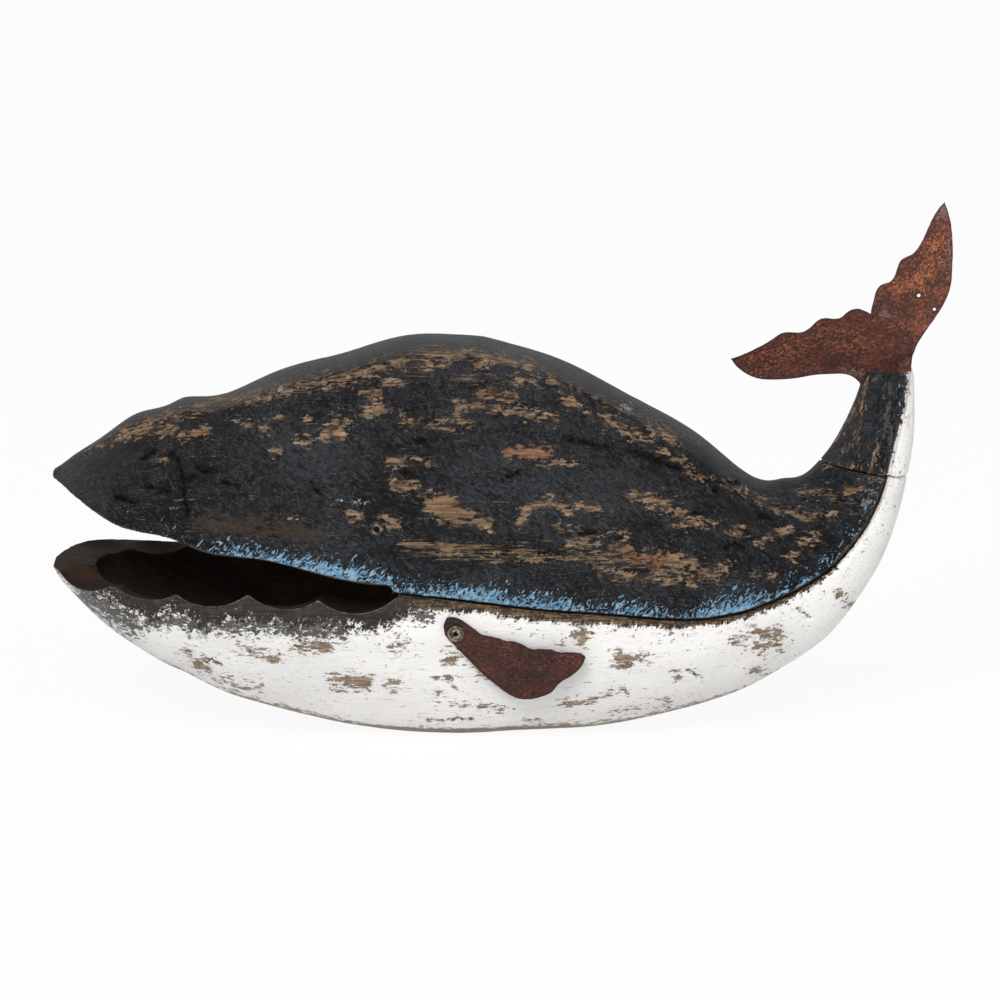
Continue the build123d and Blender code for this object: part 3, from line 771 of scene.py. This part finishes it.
# The ragged upper border of the white, in pixels of the picture, from the snout to the top of the tail
white_border_pixels = [
    (54, 570), (62, 574), (76, 583), (91, 591), (108, 598), (127, 610), (152, 618), (167, 610), (179, 612),
    (188, 617), (202, 627), (217, 623), (232, 619), (255, 622), (275, 621), (292, 627), (313, 623),
    (345, 627), (380, 630), (396, 622), (407, 609), (447, 612), (474, 612), (512, 618), (579, 624),
    (640, 627), (686, 628), (735, 622), (783, 604), (828, 576), (852, 546), (877, 504), (888, 463),
    (895, 437), (905, 403), (908, 360),
]


def on_left(points):
    """The same points, those of the right flank mirrored to the left one."""
    return points * np.where(points[:, 1:2] > 0, [[1, -1, 1]], [[1, 1, 1]])


def belly_fields(points):
    """What the white finish needs to know of each point."""
    border = line_side(seen(on_left(points)), white_border_pixels)
    return {
        "bare": both_flanks(points, belly_bare_pixels, 13),
        "nick": both_flanks(points, belly_nick_pixels, 15),
        "speck": both_flanks(points, speck_pixels, 17),
        "border": border * picture_width / picture_pixels,
        "ledge": np.clip((points[:, 0] - mouth_corner_x) / ledge_run, 0, 1),
        "rim": np.full(len(points), far_from_rim),
        "down": np.zeros(len(points)),
        "edge": line_side(points[:, [0, 2]], lip_and_seam),
    }


def belly_limit(points):
    return drawn_limit(points, 0, belly_bare_pixels, belly_patch_start, belly_nick_pixels, belly_nick_start)


def search_tree(places, numbers):
    """A tree that finds the nearest of the places, which bear the numbers."""
    tree = KDTree(len(places))
    for place, number in zip(places, numbers):
        tree.insert(place, number)
    tree.balance()
    return tree


def rim_tree_of(points, triangles, inside):
    """A search tree of places along the border between the faces inside the hollow and the others."""
    edges, which = edges_of(triangles, len(points))
    counts = np.zeros((2, len(edges)), int)
    for side in range(3):
        np.add.at(counts[0], which[inside, side], 1)
        np.add.at(counts[1], which[~inside, side], 1)
    rim = edges[(counts > 0).all(axis=0)]
    steps = np.linspace(0, 1, rim_steps)[:, None, None]
    places = (points[rim[:, 0]] * (1 - steps) + points[rim[:, 1]] * steps).reshape(-1, 3)
    return search_tree(places, range(len(places)))


def rim_gap(points):
    """The distance from the rim of the jaw, or far_from_rim for what is plainly away from it."""
    near = (points[:, 2] > rim_lowest) & (points[:, 0] < mouth_corner_x + rim_margin)
    gaps = np.full(len(points), far_from_rim)
    gaps[near] = [min(rim_tree.find(point)[2], far_from_rim) for point in points[near]]
    return gaps


def rim_limit(points):
    return np.where(rim_gap(points) < rim_width, rim_edge, coarse_edge)


def in_hollow(points, triangles):
    """Marks the faces of the gouged hollow."""
    normals = face_normals(points, triangles)
    centres = points[triangles].mean(axis=1)
    inward = normals[:, 1] * np.sign(centres[:, 1]) < inward_facing
    faces = inward | (normals[:, 2] > upward_facing)
    return faces & (centres[:, 0] < mouth_corner_x + corner_margin) & (centres[:, 2] > hollow_lowest)


# The white finish: thin smooth paint, rubbed through to grey-brown wood, with dark specks, faint smears
# of charcoal and a bare dark band under the rim and the seam
def white_finish(name, lean=0.0):
    material, shader, sums = new_finish(name)
    fine = sums.noise(sums.stretched(110, 380, lean), detail=5, rough=0.65, bend=0.5)
    ragged = sums.noise(sums.stretched(280, 520, lean), detail=6, rough=0.8, bend=0.3)
    teeth = sums.noise(sums.stretched(260, 620, lean + 70), detail=5, rough=0.7, bend=0.6)
    hairs = sums.noise(sums.stretched(60, 1300, lean), detail=4, rough=0.6, bend=0.8)
    cloud = sums.noise(sums.stretched(14, 30, lean), detail=3)
    speckle = sums.noise(sums.stretched(330, 480, lean), detail=5, rough=0.75, bend=0.4)
    grain = sums.noise(sums.stretched(40, 900, lean), detail=4, rough=0.65)

    white = cloud.above(0.4, 0.75).mixed(paint(236, 234, 231), paint(222, 220, 218))
    white = (hairs.above(0.52, 0.75) * 0.6).mixed(white, paint(204, 201, 198))
    wood = grain.above(0.3, 0.7).mixed(paint(92, 79, 66), paint(160, 140, 118))
    worn = (fine - 0.5) * 5.0 + (ragged - 0.5) * 6.0
    bare = (sums.field("bare") + worn - 0.08).above(0.0, 0.12)
    lines = sums.noise(sums.stretched(34, 1000, lean), detail=5, rough=0.6, bend=0.4)
    thin = (lines + (ragged - 0.5) * 0.3).above(0.655, 0.675)
    bare = bare.at_least(thin * 0.7)
    colour = bare.mixed(white, wood)

    border = sums.field("border")
    calm = 1 - sums.field("ledge") * 0.6
    under = border + ((teeth - 0.5) * 0.026 + (ragged - 0.5) * 0.02) * calm
    dark = (grain + (teeth - 0.5) * 0.6).above(0.34, 0.72).mixed(paint(30, 26, 23), paint(66, 56, 47))
    ledge = sums.field("ledge") * (grain + (teeth - 0.5) * 1.2).above(0.4, 0.66)
    dark = ledge.mixed(dark, paint(116, 93, 68))
    dark = teeth.above(0.64, 0.68).mixed(dark, paint(128, 118, 106))
    painted = under.above(-0.0001, 0.0003)
    near_border = (1 - border.above(0.0, 0.012)) * calm * 0.1
    thick = sums.field("speck").above(-1.0, 2.0) * 0.17
    specks = (speckle + near_border + thick).above(0.645, 0.658)
    colour = (specks * 0.92).mixed(colour, paint(46, 41, 38))
    # The nicks show bare wood darkened as painted shade in their dents
    nick = sums.field("nick") + (ragged - 0.5) * 2.2
    colour = (nick.above(0.0, 0.15) * 0.9).mixed(colour, paint(58, 47, 38))
    colour = painted.mixed(dark, colour)
    # A light brown line along the jaw rim: worn edge, and a painted highlight of the rim
    rim = 1 - (sums.field("rim") + (ragged - 0.5) * 0.003).above(0.0003, 0.0011)
    colour = (rim * teeth.above(0.36, 0.46) * 0.9).mixed(colour, paint(140, 128, 114))

    keel = (sums.field("down") + (ragged - 0.5) * 0.5 + (fine - 0.5) * 0.4).above(0.8, 0.82)
    place = sums.node("ShaderNodeTexCoord", {}, {}, out="Object")
    height = sums.node("ShaderNodeSeparateXYZ", {}, {"Vector": place}, out="Z")
    keel = keel.at_least(1 - (height + (ragged - 0.5) * 0.012).above(0.0036, 0.0042))
    colour = (keel * 0.9).mixed(colour, paint(112, 90, 68))

    bared = bare.at_least(1 - painted)
    roughness = bared * 0.25 + 0.5
    relief = hairs * 0.3 + cloud / 2 + speckle * 0.3 + (1 - bared) * 0.2
    relief = relief + grain * bared * 0.25 + specks * -0.1
    coat(shader, colour, roughness, relief, white_relief)
    shader.inputs["Specular IOR Level"].default_value = 0.35
    return material


white_paint = white_finish("white_over_wood")
points, triangles = merged("belly_block")
points, triangles = refined(points, triangles, coarse_edge, nick_edge, belly_limit)
rim_tree = rim_tree_of(points, triangles, in_hollow(points, triangles))
points, triangles = refined(points, triangles, coarse_edge, rim_edge, rim_limit)
hollow = in_hollow(points, triangles)
points = rounded_edges(points, triangles)
fields = belly_fields(points)
fields["rim"] = rim_gap(points)
normals = unit(point_sums(points, triangles, face_normals(points, triangles)))
fields["down"] = -normals[:, 2]
belly = wooden_piece("carved_belly", points, triangles, fields, [white_paint, mouth_stain_and_shade], hollow)
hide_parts("belly_block")
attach(belly, "root")

# The tail block
# The upright stock of the tail, a third block glued on across the body. The charcoal covers its front
# and the white its back, parted by the same carved groove.
kerf_half_width = 0.00125
kerf_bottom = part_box("left_fluke")[0].z - 0.0005
tail_lean = 78.0


def tail_limit(points):
    return np.minimum(back_limit(points), belly_limit(points))


tail_charcoal = charcoal_finish("tail_charcoal", tail_lean)
tail_white = white_finish("tail_white", tail_lean)
points, triangles = merged("tail_block")
points, triangles = refined(points, triangles, coarse_edge, nick_edge, tail_limit)
centres = points[triangles].mean(axis=1)
white_face = line_side(centres[:, [0, 2]], lip_and_seam) < 0
in_kerf = (np.abs(centres[:, 1]) < kerf_half_width) & (centres[:, 2] > kerf_bottom)
points = rounded_edges(points, triangles)
fields = belly_fields(points)
charcoal_side = line_side(points[:, [0, 2]], lip_and_seam) > 0
for key, values in back_fields(points).items():
    fields[key] = np.where(charcoal_side, values, fields[key]) if key in fields else values
tail_finishes = [tail_charcoal, tail_white, mouth_stain_and_shade]
# The kerf's walls take the dark mouth finish, a painted shade down in the slot
finish_of_face = np.where(in_kerf, 2, np.where(white_face, 1, 0))
tail = wooden_piece("carved_tail", points, triangles, fields, tail_finishes, finish_of_face)
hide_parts("tail_block")
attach(tail, "root")

# The flukes
# Two leaves of rusted sheet iron, cut by hand with snips and left with wavy, ragged rims. Their roots lap
# in the saw kerf at the top of the tail, and above it each is bent over to its own side.
sheet_edge = 0.0014
wall_facing = 0.5
rim_band = 0.0012
near_fluke_wave = -0.0022
far_fluke_wave = 0.0018
tail_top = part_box("tail_block")[1].z
kerf_hold = 0.002
fluke_free_rise = 0.01
rust_relief = 0.0012
near_marks = {
    "bloom": [(760, 365, 800, 345, 30), (820, 335, 860, 345, 30)],
    "grey": [(846, 372, 868, 375, 10)],
    "red": [],
    "notch": [],
}
far_marks = {
    "bloom": [(922, 246, 934, 250, 40), (900, 290, 925, 280, 26)],
    "grey": [(944, 206, 943, 214, 16), (950, 235, 948, 270, 6), (885, 316, 905, 352, 16)],
    "red": [],
    "notch": [],
}


def rust_finish(name, deep, middle, bright, share, lean):
    """Rusted sheet: a deep ground, a middle stain in clouds and a bright bloom over a share of it."""
    material, shader, sums = new_finish(name)
    cloud = sums.noise(sums.stretched(60, 110, lean), detail=4, rough=0.6, bend=0.4)
    grit = sums.noise(sums.stretched(560, 820, lean), detail=5, rough=0.8)
    pits = sums.noise(sums.stretched(1500, 1500), detail=3, rough=0.7)
    rust = (cloud * 0.6 + grit * 1.5 - 0.55).above(0.38, 0.62).mixed(deep, middle)
    bloom = grit + cloud * 0.3 + sums.field("bloom").above(-1.0, 1.6) * 0.06 - 0.15
    rust = bloom.above(0.6 - share, 0.68 - share).mixed(rust, bright)
    grey = (sums.field("grey") + (grit - 0.5) * 6.0).above(0.0, 0.9)
    rust = (grey * 0.7).mixed(rust, paint(122, 100, 96))
    red = (sums.field("red") + (grit - 0.5) * 7.0 - 0.3).above(0.0, 0.8)
    rust = (red * 0.6).mixed(rust, paint(126, 46, 37))
    rim = 1 - (sums.field("rim") + (grit - 0.5) * 0.0016).above(0.0003, 0.0014)
    rust = (rim * 0.8).mixed(rust, paint(40, 28, 25))
    rust = pits.above(0.6, 0.7).mixed(rust, paint(34, 23, 20))
    coat(shader, rust, 0.72 - grit * 0.2, grit * 0.7 + pits * 0.3, rust_relief)
    shader.inputs["Metallic"].default_value = 0.15
    shader.inputs["Specular IOR Level"].default_value = 0.35
    return material


def beaten_sheet():
    """Geometry nodes that give a flat sheet its waves, both faces alike, and nibble and notch its rim."""
    sizes = {"Wave Size": 0.03, "Wave Height": 0.001, "Nibble": 0.0007, "Notch": 0.0008, "Seed": 0.0}
    sums, given = new_tree("beaten_sheet", sizes, ["Finish"])
    cells = 1 / given["Wave Size"]
    place = sums.node("GeometryNodeInputPosition", {}, {})
    flat = sums.node("ShaderNodeVectorMath", {"operation": "MULTIPLY"}, {0: place, 1: (1, 0, 1)})
    free = sums.stored("free")
    wave = sums.seeded_noise(flat, given["Seed"], cells, 1.0) * given["Wave Height"] * free
    bite = sums.seeded_noise(flat, given["Seed"] + 3.0, cells * 9.0, 3.0)
    notch = sums.stored("notch").above(-0.5, 0.3)
    depth = bite * given["Nibble"] * free.above(0.0, 0.5) + notch * given["Notch"]
    bitten = (1 - sums.stored("rim").above(0.0, rim_band)) * depth
    sideways = sums.node("ShaderNodeCombineXYZ", {}, {"Y": wave})
    inward = sums.stored("inward", "FLOAT_VECTOR")
    nibbled = sums.node("ShaderNodeVectorMath", {"operation": "SCALE"}, {0: inward, "Scale": bitten})
    offset = sums.node("ShaderNodeVectorMath", {"operation": "ADD"}, {0: sideways, 1: nibbled})
    return moved_and_coated(sums, given, offset, ["Finish"])


def sheet_limit(points):
    """A sheet is split evenly all over."""
    return sheet_edge


def sheet_piece(node, name, finish, drawn, marks, wave, free, seed):
    """Makes a sheet from its CAD node, with the marks where they are drawn, and beats it out of flat."""
    points, triangles = merged(node)
    points, triangles = refined(points, triangles, sheet_edge, sheet_edge, sheet_limit)
    normals = face_normals(points, triangles)
    walls = np.abs(normals[:, 1]) < wall_facing
    on_rim = np.unique(triangles[walls])
    rim_tree = search_tree(points[on_rim], on_rim)
    nearest = [rim_tree.find(point) for point in points]
    outward = point_sums(points, triangles[walls], normals[walls])
    outward = unit(outward[[found[1] for found in nearest]] * (1, 0, 1))
    fields = {key: capsules(seen(drawn(points)), rows) for key, rows in marks.items()}
    fields["rim"] = np.array([found[2] for found in nearest])
    fields["free"] = free(points)
    mesh = field_mesh(name, points, triangles, fields)
    inward = mesh.attributes.new("inward", "FLOAT_VECTOR", "POINT")
    inward.data.foreach_set("vector", (-outward).astype(np.float32).ravel())
    piece = worked_piece(name, mesh, beaten, {"Wave Height": wave, "Seed": seed, "Finish": finish})
    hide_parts(node)
    return piece


def as_drawn(points):
    """The marks of a fluke lie where they are drawn."""
    return points


def above_kerf(points):
    """0 where a fluke is held in the tail and 1 where it is free."""
    return np.clip((points[:, 2] - tail_top - kerf_hold) / fluke_free_rise, 0, 1)


beaten = beaten_sheet()
# The near leaf's rust is painted darker as painted shade, since it tips down from the light, and the far
# leaf's lighter as painted light, since it tips up
near_rust_painted_shade = rust_finish(
    "near_fluke_rust_painted_shade", paint(50, 28, 23), paint(100, 54, 39), paint(156, 88, 54), share=0.01, lean=20
)
far_rust_painted_light = rust_finish(
    "far_fluke_rust_painted_light", paint(62, 36, 29), paint(120, 68, 47), paint(172, 102, 64), share=0.03, lean=60
)
left_fluke = sheet_piece(
    "left_fluke", "near_fluke", near_rust_painted_shade, as_drawn, near_marks, near_fluke_wave, above_kerf, seed=1.0
)
right_fluke = sheet_piece(
    "right_fluke", "far_fluke", far_rust_painted_light, as_drawn, far_marks, far_fluke_wave, above_kerf, seed=2.0
)
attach(left_fluke, "root")
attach(right_fluke, "root")

# The flippers
# Two smaller leaves of the same sheet, darker, each hung on one screw through its front corner, so that it
# can be swung up and down along the flank. A small empty hole sits over the screw.
flipper_marks = {
    "bloom": [(560, 655, 580, 660, 20), (500, 650, 540, 668, 16)],
    "grey": [],
    "red": [
        (495, 650, 498, 650, 6), (514, 664, 518, 666, 6), (446, 619, 449, 627, 6), (566, 656, 580, 659, 8),
    ],
    "notch": [
        (482, 629, 483, 630, 6), (506, 637, 507, 638, 6), (531, 645, 532, 646, 6), (558, 650, 560, 651, 6),
    ],
}
flipper_waves = {"left": -0.0016, "right": 0.0016}
hold_radius = 0.007
flipper_free_run = 0.02
flipper_joints = {joint["child"]: Vector(joint["pos_m"]) for joint in frame["joints"]}


def away_from(pivot):
    """A measure that is 0 where a flipper is held by its screw at the pivot and 1 where it is free."""
    return lambda points: np.clip(
        (np.linalg.norm(points - pivot, axis=1) - hold_radius) / flipper_free_run, 0, 1
    )


flipper_rust = rust_finish(
    "flipper_rust", paint(30, 17, 15), paint(74, 37, 29), paint(122, 62, 46), share=0.0, lean=0
)
for side, wave in flipper_waves.items():
    node = side + "_flipper"
    free = away_from(np.array(flipper_joints[node]))
    flipper = sheet_piece(
        node, side + "_side_flipper", flipper_rust, on_left, flipper_marks, wave, free, seed=3.0
    )
    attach(flipper, node)

# The fixings
# A flanged cross-recess screw holds each flipper, a hollow-headed tack makes each eye and two brads hold the
# flukes in their kerf, all of dulled steel with spots of rust. The dowels inside the body are plain birch.
screw_hollow = 0.0013
eye_hollow = 0.0017
head_ring = (0.0025, 0.0029, 0.0033)
steel_relief = 0.00015
birch_relief = 0.0001
screw_place = flipper_joints["left_flipper"] * Vector((1, 0, 1))
eye_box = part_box("left_eye_tack")
eye_place = (eye_box[0] + eye_box[1]) / 2 * Vector((1, 0, 1))


def steel_finish(name, ground, bright, head, hollow):
    """Tarnished steel, painted black in the hollow of a head as the shade in it, and black in a ring round
    it. The heads of both flanks lie at one place, seen from the side."""
    material, shader, sums = new_finish(name)
    place = sums.node("ShaderNodeTexCoord", {}, {}, out="Object")
    flat = sums.node("ShaderNodeVectorMath", {"operation": "MULTIPLY"}, {0: place, 1: (1, 0, 1)})
    gap = sums.node("ShaderNodeVectorMath", {"operation": "DISTANCE"}, {0: flat, 1: head}, out="Value")
    tarnish = sums.noise(sums.stretched(420, 420), detail=4, rough=0.65)
    spots = sums.noise(sums.stretched(1300, 1300), detail=3, rough=0.7)
    steel = tarnish.above(0.4, 0.65).mixed(ground, bright)
    steel = spots.above(0.56, 0.66).mixed(steel, paint(70, 44, 32))
    inner, middle, outer = head_ring
    ring = gap.above(inner, middle) * (1 - gap.above(middle, outer))
    # Black in the hollow is painted shade; the ring round it is darkened too
    hollow_shade_and_ring = (1 - gap.above(hollow * 0.8, hollow)).at_least(ring * 0.85)
    steel = hollow_shade_and_ring.mixed(steel, paint(8, 7, 6))
    coat(shader, steel, tarnish * 0.3 + 0.25, spots, steel_relief)
    shader.inputs["Metallic"].default_value = 0.85
    return material


def birch_finish():
    material, shader, sums = new_finish("plain_birch")
    grain = sums.noise(sums.stretched(900, 900), detail=4, rough=0.6)
    birch = grain.above(0.35, 0.7).mixed(paint(196, 160, 116), paint(216, 184, 142))
    coat(shader, birch, 0.6, grain, birch_relief)
    return material


screw_steel = steel_finish("screw_steel", paint(84, 74, 60), paint(190, 180, 160), screw_place, screw_hollow)
tack_steel = steel_finish("tack_steel", paint(52, 46, 40), paint(128, 118, 106), eye_place, eye_hollow)
birch = birch_finish()
fixing_finishes = {
    "left_flipper_screw": screw_steel,
    "right_flipper_screw": screw_steel,
    "left_eye_tack": tack_steel,
    "right_eye_tack": tack_steel,
    "fluke_pins": tack_steel,
    "body_dowels": birch,
    "tail_dowel": birch,
}
for node, finish in fixing_finishes.items():
    node_mesh = frame["nodes"][node].data
    node_mesh.materials.clear()
    node_mesh.materials.append(finish)
